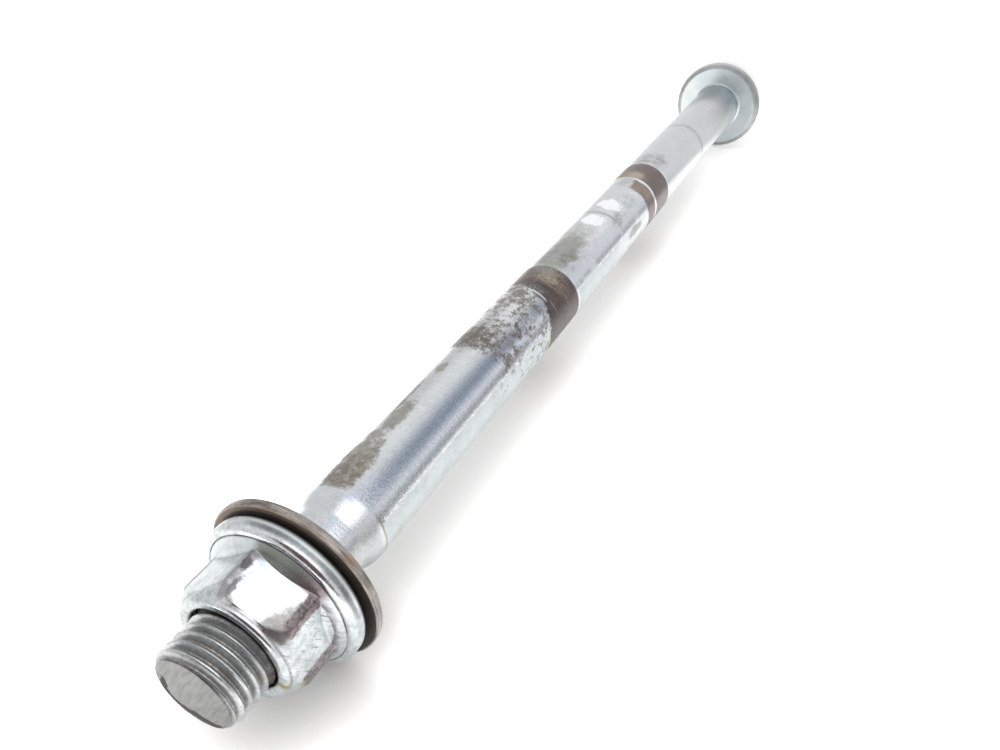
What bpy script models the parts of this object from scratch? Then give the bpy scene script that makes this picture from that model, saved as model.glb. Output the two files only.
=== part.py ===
# Rear wheel axle of a motorcycle, with its washer and self-locking flange nut.
# Metres, +Z up. It stands on its head: the origin is the centre of the head's end face,
# and +Z runs along the axle to the end of the thread.

import math

import bmesh
import bpy
from mathutils import Matrix

mm = 0.001

# Axle: sizes that can each be set by themselves
shaft_diameter = 15.0 * mm
under_head_length = 257.0 * mm
thread_diameter = 14.0 * mm
thread_length = 24.0 * mm
thread_end_diameter = 12.1 * mm
blank_diameter = 13.0 * mm
shoulder_distance = 33.2 * mm
shoulder_radius = 8.2 * mm
neck_diameter = 14.7 * mm
neck_length = 45.5 * mm
neck_edge = 0.3 * mm
neck_fillet = 0.8 * mm

# Axle head
head_flange_diameter = 28.3 * mm
head_flange_thickness = 3.2 * mm
head_rim_chamfer = 1.45 * mm
head_rim_drop = 1.1 * mm
head_back_drop = 0.7 * mm
head_hexagon_width = 19.0 * mm
head_hexagon_height = 8.8 * mm
head_corner_radius = 0.5 * mm

# Nut
nut_distance = 19.8 * mm
nut_height = 12.6 * mm
nut_hexagon_width = 19.0 * mm
nut_corner_radius = 0.6 * mm
nut_turned_by = math.radians(5.5)
nut_flange_diameter = 26.6 * mm
nut_flange_height = 3.2 * mm
nut_flange_foot = 1.3 * mm
nut_crown_diameter = 24.0 * mm
nut_root_height = 4.55 * mm
nut_collar_diameter = 18.3 * mm
nut_collar_height = 1.6 * mm
nut_lip_thickness = 0.75 * mm
nut_bore_chamfer = 0.6 * mm

# Friction ring
ring_thickness = 0.7 * mm
ring_grip = 0.9 * mm
ring_tabs = 6
ring_tab_share = 0.7
ring_tab_depth = 0.5 * mm

# Washer
washer_diameter = 29.1 * mm
washer_thickness = 1.5 * mm
washer_edge = 0.35 * mm

# Clearances
seat_gap = 0.3 * mm
running_gap = 0.3 * mm

# Corner angle of every hexagon's top and bottom chamfer, the share of its width that stays flat,
# the share of an edge's height at which it turns over, and how finely round things are cut
hexagon_chamfer = math.radians(30.0)
hexagon_face_share = 0.96
turn_over_share = 1 / 3
crown_facets = 5
turns_of_facets = 72
overshoot = 2.0 * mm

# Places that follow from the sizes above
head_height = head_flange_thickness + head_hexagon_height
total_length = head_height + under_head_length
bore_radius = thread_diameter / 2 + running_gap
nut_seat = total_length - nut_distance
nut_top = nut_seat + nut_height
ring_bottom = nut_top - nut_lip_thickness - seat_gap - ring_thickness
ring_outer_radius = bore_radius + ring_grip
washer_top = nut_seat - seat_gap


def clear_scene():
    for item in list(bpy.data.objects):
        bpy.data.objects.remove(item)


def arc(centre_radius, centre_height, radius, start, end, steps):
    """Points of an arc in the (radius, height) half plane, angles in degrees from outwards."""
    angles = [math.radians(start + (end - start) * i / steps) for i in range(steps + 1)]
    return [(centre_radius + radius * math.cos(a), centre_height + radius * math.sin(a)) for a in angles]


def new_object(name, mesh_builder):
    mesh = bpy.data.meshes.new(name)
    mesh_builder.to_mesh(mesh)
    mesh_builder.free()
    piece = bpy.data.objects.new(name, mesh)
    bpy.context.collection.objects.link(piece)
    return piece


def turned(name, profile, closed_loop=False):
    """Turns a (radius, height) profile about Z. An open profile starts and ends on the axis."""
    shape = bmesh.new()
    points = [shape.verts.new((r, 0.0, z)) for r, z in profile]
    ends = points[1:] + points[:1] if closed_loop else points[1:]
    edges = [shape.edges.new(pair) for pair in zip(points, ends)]
    bmesh.ops.spin(
        shape, geom=points + edges, cent=(0, 0, 0), axis=(0, 0, 1),
        angle=2 * math.pi, steps=turns_of_facets, use_merge=True)
    bmesh.ops.remove_doubles(shape, verts=shape.verts, dist=1e-6)
    bmesh.ops.recalc_face_normals(shape, faces=shape.faces)
    return new_object(name, shape)


def hexagon(name, width, bottom, top, corner_radius, turned_by):
    """A hexagonal bar with a flat facing the angle turned_by and with rounded upright edges."""
    shape = bmesh.new()
    corner = width / 2 / math.cos(math.pi / 6)
    bmesh.ops.create_cone(
        shape, cap_ends=True, segments=6, radius1=corner, radius2=corner, depth=top - bottom,
        matrix=Matrix.Translation((0, 0, (bottom + top) / 2)))
    upright = [e for e in shape.edges if abs(e.verts[0].co.z - e.verts[1].co.z) > (top - bottom) / 2]
    bmesh.ops.bevel(
        shape, geom=upright, offset=corner_radius * math.tan(math.pi / 6), offset_type="OFFSET",
        affect="EDGES", segments=3, profile=0.5, material=-1)
    facing = math.atan2(*reversed(max((f.normal.xy for f in shape.faces if abs(f.normal.z) < 0.5),
                                      key=lambda n: n.x)))
    bmesh.ops.rotate(shape, verts=shape.verts, matrix=Matrix.Rotation(turned_by - facing, 3, "Z"))
    return new_object(name, shape)


def combine(piece, other, operation):
    """Applies one exact Boolean and removes the other object."""
    change = piece.modifiers.new(operation.lower(), "BOOLEAN")
    change.operation = operation
    change.solver = "EXACT"
    change.object = other
    bpy.context.view_layer.update()
    result = bpy.data.meshes.new_from_object(piece.evaluated_get(bpy.context.evaluated_depsgraph_get()))
    piece.modifiers.clear()
    piece.data = result
    bpy.data.objects.remove(other)


def chamfered_hexagon(name, width, bottom, top, chamfer_top, chamfer_bottom, corner_radius, turned_by):
    """A hexagonal bar whose corners are turned off at 30 degrees at one or both ends."""
    bar = hexagon(name, width, bottom, top, corner_radius, turned_by)
    face = hexagon_face_share * width / 2
    outer = width
    slope = (outer - face) * math.tan(hexagon_chamfer)
    low = [(0, bottom), (face, bottom), (outer, bottom + slope)] if chamfer_bottom else [
        (0, bottom - overshoot), (outer, bottom - overshoot)]
    high = [(outer, top - slope), (face, top), (0, top)] if chamfer_top else [
        (outer, top + overshoot), (0, top + overshoot)]
    combine(bar, turned("hexagon_envelope", low + high), "INTERSECT")
    return bar


def make_axle():
    shaft = shaft_diameter / 2
    neck = neck_diameter / 2
    blank = blank_diameter / 2
    thread = thread_diameter / 2
    end = thread_end_diameter / 2
    flange = head_flange_diameter / 2
    hexagon_corner = head_hexagon_width / 2 / math.cos(math.pi / 6)
    neck_end = head_height + neck_length
    shoulder = total_length - shoulder_distance
    shoulder_angle = math.degrees(math.acos(1 - (shaft - blank) / shoulder_radius))
    thread_start = total_length - thread_length
    profile = [
        (0, head_hexagon_height - head_back_drop - overshoot),
        (neck, head_hexagon_height - head_back_drop - overshoot),
        (neck, head_hexagon_height - head_back_drop),
        (hexagon_corner, head_hexagon_height - head_back_drop),
        (flange - head_back_drop, head_hexagon_height),
        (flange - head_back_drop * turn_over_share, head_hexagon_height + head_back_drop * turn_over_share),
        (flange, head_hexagon_height + head_back_drop),
        (flange, head_height - head_rim_drop),
        (flange - head_rim_chamfer * turn_over_share, head_height - head_rim_drop * turn_over_share),
        (flange - head_rim_chamfer, head_height)]
    profile += arc(neck + neck_fillet, head_height + neck_fillet, neck_fillet, 270, 180, 6)
    profile += [
        (neck, neck_end),
        (shaft - (shaft - neck) * turn_over_share, neck_end + neck_edge * turn_over_share),
        (shaft, neck_end + neck_edge)]
    profile += arc(shaft - shoulder_radius, shoulder, shoulder_radius, 0, shoulder_angle, 8)
    profile += [
        (blank, thread_start - (thread - blank)),
        (thread, thread_start),
        (thread, total_length - (thread - end)),
        (end, total_length),
        (0, total_length)]
    axle = turned("axle_bolt", profile)
    head = chamfered_hexagon(
        "head_hexagon", head_hexagon_width, 0, head_hexagon_height,
        False, True, head_corner_radius, 0)
    combine(axle, head, "UNION")
    return axle


def make_nut():
    flange = nut_flange_diameter / 2
    crown = nut_crown_diameter / 2
    collar = nut_collar_diameter / 2
    inscribed = nut_hexagon_width / 2
    hexagon_top = nut_top - nut_collar_height
    body = [
        (0, nut_seat),
        (flange - nut_flange_foot, nut_seat),
        (flange - nut_flange_foot * turn_over_share, nut_seat + nut_flange_foot * turn_over_share),
        (flange, nut_seat + nut_flange_foot)]
    crown_rise = nut_flange_height - nut_flange_foot
    body += [
        (crown + (flange - crown) * math.cos(a), nut_seat + nut_flange_foot + crown_rise * math.sin(a))
        for a in [math.pi / 2 * i / crown_facets for i in range(1, crown_facets + 1)]]
    body += [
        (inscribed, nut_seat + nut_root_height),
        (inscribed, hexagon_top - nut_collar_height),
        (collar, hexagon_top)]
    body += arc(collar - nut_lip_thickness, nut_top - nut_lip_thickness, nut_lip_thickness, 0, 90, 5)
    body += [(0, nut_top)]
    nut = turned("flange_nut", body)
    bar = chamfered_hexagon(
        "nut_hexagon", nut_hexagon_width, nut_seat + nut_flange_foot, hexagon_top,
        True, False, nut_corner_radius, nut_turned_by)
    combine(nut, bar, "UNION")

    seat_low = ring_bottom - seat_gap
    seat_high = ring_bottom + ring_thickness + seat_gap
    seat = ring_outer_radius + running_gap
    bore = [
        (0, nut_seat - overshoot),
        (bore_radius + nut_bore_chamfer + overshoot, nut_seat - overshoot),
        (bore_radius, nut_seat + nut_bore_chamfer),
        (bore_radius, seat_low),
        (seat, seat_low),
        (seat, seat_high),
        (bore_radius, seat_high),
        (bore_radius, nut_top + overshoot),
        (0, nut_top + overshoot)]
    combine(nut, turned("bore", bore), "DIFFERENCE")
    return nut


def make_friction_ring():
    """A flat spring ring whose inner edge is cut into tabs that grip the thread."""
    shape = bmesh.new()
    loops = []
    for height in (ring_bottom, ring_bottom + ring_thickness):
        inner, outer = [], []
        for i in range(turns_of_facets):
            angle = 2 * math.pi * i / turns_of_facets
            place = (i * ring_tabs % turns_of_facets) / turns_of_facets
            inside = bore_radius if place < ring_tab_share else bore_radius + ring_tab_depth
            inner.append(shape.verts.new((inside * math.cos(angle), inside * math.sin(angle), height)))
            outer.append(shape.verts.new(
                (ring_outer_radius * math.cos(angle), ring_outer_radius * math.sin(angle), height)))
        loops.append((inner, outer))
    (low_in, low_out), (high_in, high_out) = loops
    for i in range(turns_of_facets):
        j = (i + 1) % turns_of_facets
        shape.faces.new((low_in[i], low_in[j], low_out[j], low_out[i]))
        shape.faces.new((high_in[i], high_out[i], high_out[j], high_in[j]))
        shape.faces.new((low_in[i], high_in[i], high_in[j], low_in[j]))
        shape.faces.new((low_out[i], low_out[j], high_out[j], high_out[i]))
    bmesh.ops.recalc_face_normals(shape, faces=shape.faces)
    return new_object("friction_ring", shape)


def make_washer():
    outer = washer_diameter / 2
    bottom = washer_top - washer_thickness
    profile = arc(outer - washer_edge, bottom + washer_edge, washer_edge, 270, 360, 3)
    profile += arc(outer - washer_edge, washer_top - washer_edge, washer_edge, 0, 90, 3)
    profile += [(bore_radius, washer_top), (bore_radius, bottom)]
    return turned("plain_washer", profile, closed_loop=True)


def material(name, colour, roughness, metallic):
    finish = bpy.data.materials.new(name)
    finish.use_nodes = True
    shader = finish.node_tree.nodes["Principled BSDF"]
    shader.inputs["Base Color"].default_value = (*colour, 1)
    shader.inputs["Roughness"].default_value = roughness
    shader.inputs["Metallic"].default_value = metallic
    return finish


def finish(piece, surface):
    piece.data.materials.clear()
    piece.data.materials.append(surface)
    piece.data.shade_smooth()
    piece.data.set_sharp_from_angle(angle=math.radians(25))


clear_scene()
finish(make_axle(), material("satin_zinc", (0.58, 0.60, 0.61), 0.32, 1.0))
finish(make_nut(), material("bright_zinc", (0.72, 0.74, 0.75), 0.18, 1.0))
finish(make_friction_ring(), material("spring_steel", (0.20, 0.17, 0.15), 0.45, 1.0))
finish(make_washer(), material("bare_steel", (0.42, 0.38, 0.35), 0.45, 1.0))
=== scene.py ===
import math

import bmesh
import bpy
from mathutils import Matrix, Vector, noise


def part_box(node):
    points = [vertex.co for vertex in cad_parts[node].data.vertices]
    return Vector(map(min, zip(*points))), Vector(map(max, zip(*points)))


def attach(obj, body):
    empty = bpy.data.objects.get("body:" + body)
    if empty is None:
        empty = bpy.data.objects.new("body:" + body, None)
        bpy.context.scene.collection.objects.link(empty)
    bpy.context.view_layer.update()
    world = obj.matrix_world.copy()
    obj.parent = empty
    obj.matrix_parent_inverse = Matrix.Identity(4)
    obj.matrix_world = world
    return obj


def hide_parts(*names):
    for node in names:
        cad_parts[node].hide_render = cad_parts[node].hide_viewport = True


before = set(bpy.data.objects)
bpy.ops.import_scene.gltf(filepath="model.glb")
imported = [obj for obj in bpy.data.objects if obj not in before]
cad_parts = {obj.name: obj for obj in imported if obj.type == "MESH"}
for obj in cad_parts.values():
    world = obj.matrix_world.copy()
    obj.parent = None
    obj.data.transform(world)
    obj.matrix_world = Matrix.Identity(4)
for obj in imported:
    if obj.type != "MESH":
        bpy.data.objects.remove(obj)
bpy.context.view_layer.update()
mm = 0.001

# the frame's own heights, in millimetres: z from the head's end face, t from the end of the thread
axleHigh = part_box("axle_bolt")[1]
nutLow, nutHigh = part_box("flange_nut")
ringLow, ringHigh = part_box("friction_ring")
washerLow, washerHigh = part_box("plain_washer")
totalLength = axleHigh.z / mm
facing = math.radians(-123.3)      # the side of the axle that looks at the photograph's camera


def arc(centreR, centreZ, radius, start, end, steps):
    turns = [math.radians(start + (end - start) * i / steps) for i in range(steps + 1)]
    return [(centreR + radius * math.cos(a), centreZ + radius * math.sin(a)) for a in turns]


def straight(first, last, step):
    count = max(1, round(math.hypot(last[0] - first[0], last[1] - first[1]) / step))
    return [tuple(first[k] + (last[k] - first[k]) * i / count for k in (0, 1)) for i in range(count + 1)]


def withoutRepeats(profile):
    kept = []
    for point in profile:
        if not kept or math.dist(point, kept[-1]) > 1e-4:
            kept.append(point)
    return kept


def turnedMesh(profile, steps, closedLoop=False, startAngle=0.0):
    # profile: (radius, z) in millimetres
    shape = bmesh.new()
    c, s = math.cos(startAngle), math.sin(startAngle)
    points = [shape.verts.new((r * mm * c, r * mm * s, z * mm)) for r, z in profile]
    ends = points[1:] + points[:1] if closedLoop else points[1:]
    edges = [shape.edges.new(pair) for pair in zip(points, ends)]
    bmesh.ops.spin(
        shape, geom=points + edges, cent=(0, 0, 0), axis=(0, 0, 1),
        angle=2 * math.pi, steps=steps, use_merge=True)
    bmesh.ops.remove_doubles(shape, verts=shape.verts, dist=1e-7)
    bmesh.ops.recalc_face_normals(shape, faces=shape.faces)
    return shape


def newPiece(name, shape):
    mesh = bpy.data.meshes.new(name)
    shape.to_mesh(mesh)
    shape.free()
    piece = bpy.data.objects.new(name, mesh)
    bpy.context.scene.collection.objects.link(piece)
    return piece


def combine(piece, other, operation):
    change = piece.modifiers.new("cut", "BOOLEAN")
    change.operation, change.solver, change.object = operation, "EXACT", other
    bpy.context.view_layer.update()
    made = bpy.data.meshes.new_from_object(piece.evaluated_get(bpy.context.evaluated_depsgraph_get()))
    piece.modifiers.clear()
    piece.data = made
    bpy.data.objects.remove(other)


def polish(piece, sharpAngle):
    piece.data.shade_smooth()
    piece.data.set_sharp_from_angle(angle=math.radians(sharpAngle))


def settle(piece, node, body, surface):
    piece.data.materials.clear()
    piece.data.materials.append(surface)
    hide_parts(node)
    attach(piece, body)
    print("made", piece.name, len(piece.data.polygons), "faces")


# the threaded axle

axle = dict(
    shaftRadius=7.5, neckRadius=7.35, neckEnd=57.5, neckStep=0.06, stepLength=0.25, shaftRound=0.22, fillet=0.8,
    blankRadius=6.5, shoulderAt=33.2, shoulderRadius=8.2, shoulderHollow=2.0,
    threadRadius=6.92, rootRadius=6.08, pitch=1.5, threadLength=24.0, threadFoot=0.8, crestShare=0.16, rootShare=0.14,
    flankRound=0.45, flankStraight=0.55, sectionSteps=16, runOut=0.3, runOutDepth=0.25, runOutSlope=0.5,
    threadEndRadius=6.05, endChamfer=0.95, bearingFace=12.0, flangeRadius=14.15, rimChamfer=1.45, chamferRound=0.15,
    rimDrop=1.1, rimRound=0.35, flangeBack=8.8, backDrop=0.7, backRadius=11.5, coreRadius=7, coreDepth=3,
    headAcross=19.0, headCorner=0.5, cornerSteps=5, headTurn=30, endShare=0.96, endAngle=30, endEdge=0.25, endLift=0.06,
    around=224, aroundThread=160)


def threadSection():
    # radius along one pitch: rounded crest, nearly straight flanks, rounded root
    a, section = axle, []
    for i in range(a["sectionSteps"]):
        u = i / a["sectionSteps"]
        flank = (abs(2 * u - 1) - a["rootShare"]) / (1 - a["rootShare"] - a["crestShare"])
        flank = min(1, max(0, flank))
        share = a["flankRound"] * (0.5 - 0.5 * math.cos(math.pi * flank)) + a["flankStraight"] * flank
        section.append((u, a["rootRadius"] + (a["threadRadius"] - a["rootRadius"]) * share))
    return section


def makeThread():
    a = axle
    pitch, steps, spare = a["pitch"], a["aroundThread"], 2
    threadStart = totalLength - a["threadLength"]
    bottom = threadStart - a["threadFoot"]
    turns = math.ceil((totalLength - bottom) / pitch) + spare + 1
    start = bottom - spare * pitch
    profile = [(r, start + (k + u) * pitch) for k in range(turns) for u, r in threadSection()]
    profile.append((profile[0][0], start + turns * pitch))
    shape = bmesh.new()
    points = [shape.verts.new((r * mm, 0, z * mm)) for r, z in profile]
    edges = [shape.edges.new(pair) for pair in zip(points, points[1:])]
    bmesh.ops.spin(
        shape, geom=points + edges, cent=(0, 0, 0), axis=(0, 0, 1), dvec=(0, 0, pitch * mm / steps),
        angle=2 * math.pi, steps=steps, use_merge=False)
    bmesh.ops.remove_doubles(shape, verts=shape.verts, dist=1e-5)
    # chamfered at the end, and fading out where the thread starts on the blank
    chamferSlope = (a["threadRadius"] - a["threadEndRadius"]) / a["endChamfer"]
    for v in shape.verts:
        r, z = v.co.xy.length / mm, v.co.z / mm
        chamfer = a["threadEndRadius"] + max(0, totalLength - z) * chamferSlope
        fade = a["blankRadius"] - a["runOutDepth"] + max(0, z - threadStart + a["runOut"]) * a["runOutSlope"]
        limit = min(chamfer, fade)
        if r > limit:
            v.co.xy *= limit / r
    for height, normal in ((totalLength, (0, 0, 1)), (bottom, (0, 0, -1))):
        bmesh.ops.bisect_plane(
            shape, geom=shape.verts[:] + shape.edges[:] + shape.faces[:], dist=1e-7,
            plane_co=(0, 0, height * mm), plane_no=normal, clear_outer=True)
        rim = [e for e in shape.edges
               if e.is_boundary and all(abs(v.co.z - height * mm) < 1e-6 for v in e.verts)]
        bmesh.ops.edgeloop_fill(shape, edges=rim)
    bmesh.ops.recalc_face_normals(shape, faces=shape.faces)
    return newPiece("thread", shape)


def headHexagon():
    a = axle
    across, high = a["headAcross"], a["flangeBack"]
    shape = bmesh.new()
    corner = across / 2 / math.cos(math.pi / 6)
    bmesh.ops.create_cone(
        shape, cap_ends=True, segments=6, radius1=corner * mm, radius2=corner * mm, depth=high * mm,
        matrix=Matrix.Translation((0, 0, high / 2 * mm)))
    upright = [e for e in shape.edges if abs(e.verts[0].co.z - e.verts[1].co.z) > 1e-4]
    bmesh.ops.bevel(
        shape, geom=upright, offset=a["headCorner"] * mm * math.tan(math.pi / 6), offset_type="OFFSET",
        affect="EDGES", segments=a["cornerSteps"], profile=0.5, material=-1)
    bar = newPiece("bar", shape)
    bar.data.transform(Matrix.Rotation(math.radians(a["headTurn"]), 4, "Z"))
    # the corners of its end are turned off at a slant
    face, outer, top = across / 2 * a["endShare"], across, high + 2
    slope = (outer - face) * math.tan(math.radians(a["endAngle"]))
    envelope = [(0, 0), (face - a["endEdge"], 0), (face, a["endLift"]), (outer, slope), (outer, top), (0, top)]
    combine(bar, newPiece("envelope", turnedMesh(envelope, 144)), "INTERSECT")
    return bar


def makeAxle(surface):
    a = axle
    neck, neckEnd, fillet = a["neckRadius"], a["neckEnd"], a["fillet"]
    shaft, blank, hollow = a["shaftRadius"], a["blankRadius"], a["shoulderHollow"]
    flange, face, back = a["flangeRadius"], a["bearingFace"], a["flangeBack"]
    shoulder, threadStart = totalLength - a["shoulderAt"], totalLength - a["threadLength"]
    lean = math.acos(1 - (shaft - blank) / (a["shoulderRadius"] + hollow))
    blankStart = shoulder + (a["shoulderRadius"] + hollow) * math.sin(lean)
    lean = math.degrees(lean)
    # the back of the flange and its coned rim
    rim, chamfer, edge = a["rimRound"], flange - a["rimChamfer"], a["chamferRound"]
    core, floor = a["coreRadius"], back - a["backDrop"]
    profile = [(0, back - a["coreDepth"]), (core, back - a["coreDepth"]), (core, floor)]
    profile += [(a["backRadius"], floor + 0.1), (flange - 0.9, back - 0.15)]
    profile += arc(flange - rim, back + rim + 0.1, rim, 280, 360, 5)
    profile += arc(flange - rim, face - a["rimDrop"] - rim * 0.4, rim, 0, 38, 4)
    profile += straight((flange - 0.45, face - a["rimDrop"] + 0.42), (chamfer + 0.12, face - 0.07), 0.2)
    profile += arc(chamfer, face - edge, edge, 55, 90, 3)
    # its bearing face, the fillet and the neck
    profile += straight((chamfer, face), (neck + fillet, face), 0.5)
    profile += arc(neck + fillet, face + fillet, fillet, 270, 180, 10)
    profile += straight((neck, face + fillet), (neck, neckEnd), 3)
    profile += [(neck - a["neckStep"], neckEnd - a["stepLength"]), (neck - a["neckStep"], neckEnd)]
    # the shaft, its shoulder and the thread's blank
    profile += arc(shaft - a["shaftRound"], neckEnd + 0.28, a["shaftRound"], 300, 360, 4)
    profile += straight((shaft, neckEnd + 0.3), (shaft, shoulder), 3)
    profile += arc(shaft - a["shoulderRadius"], shoulder, a["shoulderRadius"], 0, lean, 22)
    profile += arc(blank + hollow, blankStart, hollow, 180 + lean, 180, 10)
    profile += straight((blank, blankStart + 0.3), (blank, threadStart - 0.1), 1.0)
    profile += [(blank - 0.1, threadStart), (a["rootRadius"] - 0.12, threadStart + 0.35), (0, threadStart + 0.35)]
    piece = newPiece("axle", turnedMesh(withoutRepeats(profile), a["around"]))
    combine(piece, headHexagon(), "UNION")
    combine(piece, makeThread(), "UNION")
    polish(piece, sharpAngle=32)
    settle(piece, "axle_bolt", "axle", surface)


# the flange nut: a turned blank whose hexagon is pressed in by the angle round the axis

nut = dict(
    seat=nutLow.z / mm, height=(nutHigh.z - nutLow.z) / mm, across=19.0, cornerRadius=10.9, turnedBy=5.5,
    flangeRadius=13.3, footRadius=12.0, footHeight=1.3, crownRadius=12.0, crownHeight=3.2, creaseDepth=0.16,
    rootHeight=4.55, chamferEnd=11.6, chamferSlope=0.76, collarRadius=9.15, lipRound=0.75, lipInside=0.6, rimRadius=7.3,
    seatRadius=8.5, boreRadius=7.12, boreChamfer=0.75, threadDepth=0.55, grooveSteps=6, cornerBlend=0.25,
    chamferBlend=0.4, rootBlend=0.3, wearFrom=9.9, wearDepth=0.1, wearScale=0.9, markRadius=15.0, rows=96, around=288)


def smoothMin(p, q, blend):
    h = max(blend - abs(p - q), 0) / blend
    return min(p, q) - h * h * blend / 4


def smoothMax(p, q, blend):
    return -smoothMin(-p, -q, blend)


def nutRadius(angle, h):
    # angle from a flat's middle in radians, h above the bearing face
    n = nut
    off = (angle + math.pi / 6) % (math.pi / 3) - math.pi / 6
    flat = n["across"] / 2 / math.cos(off)
    body = smoothMin(flat, n["cornerRadius"], n["cornerBlend"])
    body = smoothMin(body, n["across"] / 2 + (n["chamferEnd"] - h) * n["chamferSlope"], n["chamferBlend"])
    cone = n["crownRadius"] - (h - n["crownHeight"]) * (
        (n["crownRadius"] - n["across"] / 2) / (n["rootHeight"] - n["crownHeight"]))
    body = smoothMax(body, cone, n["rootBlend"])
    return smoothMax(body, n["collarRadius"], n["rootBlend"]) if h > n["chamferEnd"] - 1 else body


def makeNut(surface):
    n = nut
    seat = n["seat"]
    # the flange from its rounded foot to the crown and the crease inside it
    foot, crown = n["flangeRadius"] - n["footRadius"], n["flangeRadius"] - n["crownRadius"]
    slants = [math.radians(6 * i) for i in range(-15, 1)]
    outer = [(n["footRadius"] + foot * math.cos(a), n["footHeight"] * (1 + math.sin(a))) for a in slants]
    outer += arc(n["crownRadius"], n["crownHeight"] - crown, crown, 0, 90, 18)
    outer += [(n["crownRadius"] - 0.08, n["crownHeight"] - n["creaseDepth"]),
              (n["crownRadius"] - 0.22, n["crownHeight"] - n["creaseDepth"] * 0.6)]
    # rows at a marked radius, which are pressed into the hexagon below
    first, last = n["crownHeight"] + 0.05, n["height"] - n["lipRound"] - 0.35
    marks = [(n["markRadius"], first + (last - first) * i / n["rows"]) for i in range(n["rows"] + 1)]
    # the lip, the seat of the friction ring, the inner thread and the bearing face
    lip, inside = n["lipRound"], n["lipInside"]
    inner = arc(n["collarRadius"] - lip, n["height"] - lip, lip, 0, 90, 10)
    inner += straight((n["collarRadius"] - lip, n["height"]), (n["rimRadius"] + inside, n["height"]), 0.2)
    inner += arc(n["rimRadius"] + inside, n["height"] - inside, inside, 90, 180, 8)
    ringTop, ringBottom = ringHigh.z / mm - seat, ringLow.z / mm - seat
    inner += [(n["rimRadius"], ringTop + 0.32), (n["seatRadius"], ringTop + 0.3), (n["seatRadius"], ringBottom - 0.3)]
    inner += [(n["boreRadius"], ringBottom - 0.3)]
    turns, steps = math.floor((ringBottom - 1.6) / axle["pitch"]), n["grooveSteps"]
    for k in range(turns * steps + 1):
        groove = 0.5 - 0.5 * math.cos(2 * math.pi * k / steps)
        inner.append((n["boreRadius"] + n["threadDepth"] * groove, ringBottom - 0.6 - k * axle["pitch"] / steps))
    mouth = n["boreRadius"] + n["boreChamfer"]
    inner += [(n["boreRadius"] + 0.05, 0.7)] + straight((mouth, 0.0), (n["footRadius"], 0.0), 0.8)
    profile = [(r, seat + h) for r, h in outer + marks + inner]
    shape = turnedMesh(withoutRepeats(profile), n["around"], True, math.radians(n["turnedBy"]))
    for v in shape.verts:
        r, h = v.co.xy.length / mm, v.co.z / mm - seat
        if r > n["markRadius"] - 0.5:
            angle = math.atan2(v.co.y, v.co.x) - math.radians(n["turnedBy"])
            target = nutRadius(angle, h)
            corner = min(1, max(0, (target - n["wearFrom"]) * 2))
            target -= corner * n["wearDepth"] * (0.5 + 0.5 * noise.noise(v.co / mm * n["wearScale"]))
            v.co.xy *= target / r
    bmesh.ops.recalc_face_normals(shape, faces=shape.faces)
    piece = newPiece("nut", shape)
    polish(piece, sharpAngle=45)
    settle(piece, "flange_nut", "nut", surface)


# the spring ring under the nut's rolled lip

ring = dict(inner=7.22, tabDepth=0.5, tabs=6, tabShare=0.7, tabSlope=12, outer=ringHigh.x / mm, edge=0.12, around=240)


def makeRing(surface):
    low, high = ringLow.z / mm, ringHigh.z / mm
    e = ring["edge"]
    profile = [(ring["inner"], low + e), (ring["inner"], high - e), (ring["inner"] + e, high)]
    profile += [(ring["outer"] - e, high), (ring["outer"], high - e), (ring["outer"], low + e)]
    profile += [(ring["outer"] - e, low), (ring["inner"] + e, low)]
    shape = turnedMesh(profile, ring["around"], True)
    for v in shape.verts:
        r = v.co.xy.length / mm
        if r < ring["inner"] + 2 * e:
            place = math.atan2(v.co.y, v.co.x) / (2 * math.pi) * ring["tabs"] % 1
            away = min(place, abs(place - ring["tabShare"]), 1 - place)
            notch = ring["tabDepth"] * min(1, away * ring["tabSlope"]) if place > ring["tabShare"] else 0
            v.co.xy *= (r + notch) / r
    piece = newPiece("frictionRing", shape)
    polish(piece, sharpAngle=35)
    settle(piece, "friction_ring", "locking_ring", surface)


# the washer, stamped: its rim is slightly wavy and it leans a little

washer = dict(
    outer=washerHigh.x / mm, inner=7.3, edge=0.3, boreRound=0.2, wave=0.05, waveScale=0.35, waveReach=1.5,
    lean=0.016, leanTo=105.0, around=256)


def makeWasher(surface):
    low, high, e = washerLow.z / mm, washerHigh.z / mm, washer["edge"]
    outer, inner, bore = washer["outer"] - washer["wave"], washer["inner"], washer["boreRound"]
    profile = arc(outer - e, low + e, e, 270, 360, 5) + arc(outer - e, high - e, e, 0, 90, 6)
    profile += straight((outer - e, high), (inner + 0.25, high), 0.8)
    profile += arc(inner + bore, high - bore, bore, 90, 180, 3) + arc(inner + bore, low + bore, bore, 180, 270, 3)
    profile += straight((inner + bore, low), (outer - e, low), 0.8)[:-1]
    shape = turnedMesh(withoutRepeats(profile), washer["around"], True)
    leanTo = Matrix.Rotation(math.radians(washer["leanTo"]), 3, "Z") @ Vector((1, 0, 0))
    for v in shape.verts:
        r = v.co.xy.length / mm
        if r > outer - washer["waveReach"]:
            v.co.xy *= 1 + washer["wave"] * noise.noise(v.co / mm * washer["waveScale"]) / r
        v.co.z -= washer["lean"] * v.co.dot(leanTo)
    piece = newPiece("washer", shape)
    polish(piece, sharpAngle=40)
    settle(piece, "plain_washer", "washer", surface)


# shader maths on sockets

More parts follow.
